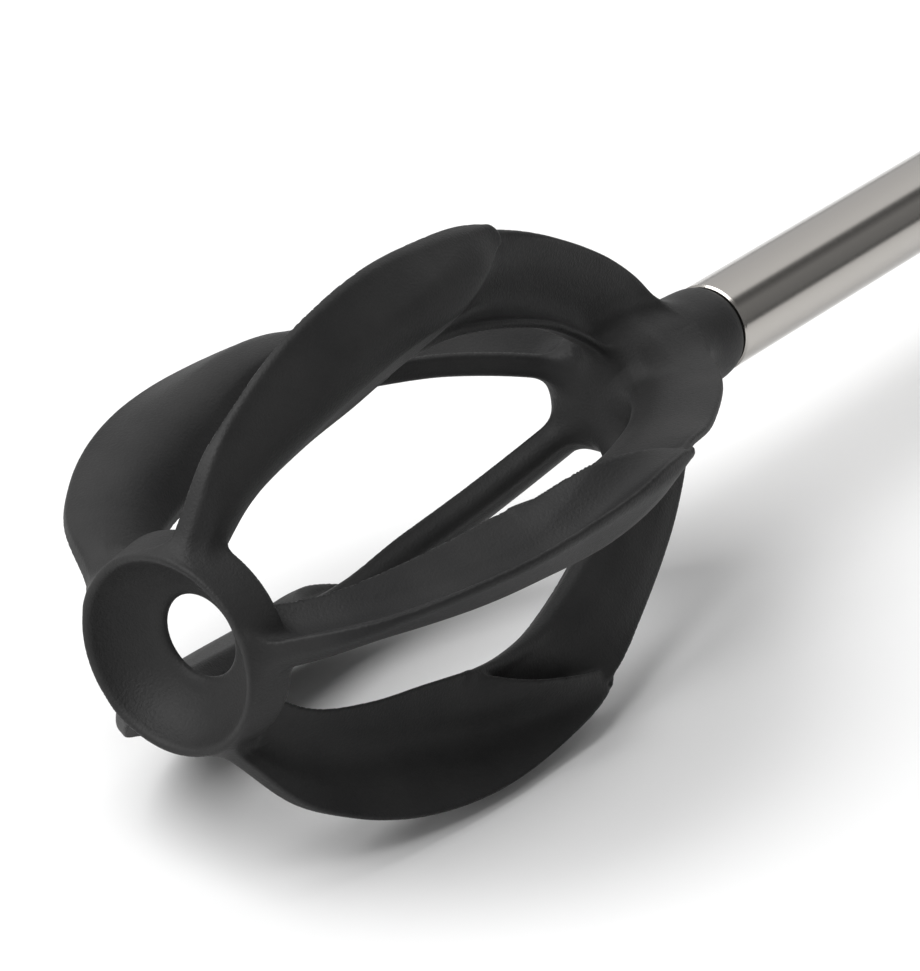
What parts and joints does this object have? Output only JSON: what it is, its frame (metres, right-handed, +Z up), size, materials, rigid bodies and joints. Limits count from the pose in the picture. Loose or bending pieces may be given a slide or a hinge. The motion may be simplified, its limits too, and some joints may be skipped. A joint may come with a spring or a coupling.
{
  "type": "drill paint mixer",
  "caption": "Cage-headed stirring tool: moulded scoop arms between a funnel ring and a hub, on a steel tube with a round drive shank.",
  "frame": {"origin": "on the spin axis at the shoulder face of the drive shank, where the round shank leaves it", "axes": "+X along the spin axis out of the free end of the shank; +Z up through the middle of the top arm, with the tool lying level; the front ring is at the -X end"},
  "size_m": [0.335, 0.0763, 0.0728],
  "materials": {
    "head_polymer": "fine-grained matte charcoal moulding",
    "tube_steel": "satin stainless, ground round the tube",
    "shank_steel": "turned steel with faint turning marks",
    "pin_steel": "dark phosphated spring steel"
  },
  "bodies": {
    "root": {"front_ring": "head_polymer", "hub_collar": "head_polymer", "front_scoop_1": "head_polymer", "front_scoop_2": "head_polymer", "front_scoop_3": "head_polymer", "front_scoop_4": "head_polymer", "front_scoop_5": "head_polymer", "rear_arm_1": "head_polymer", "rear_arm_2": "head_polymer", "rear_arm_3": "head_polymer", "rear_arm_4": "head_polymer", "rear_arm_5": "head_polymer", "drive_tube": "tube_steel", "drive_shank": "shank_steel", "spring_pin": "pin_steel"}
  },
  "joints": []
}
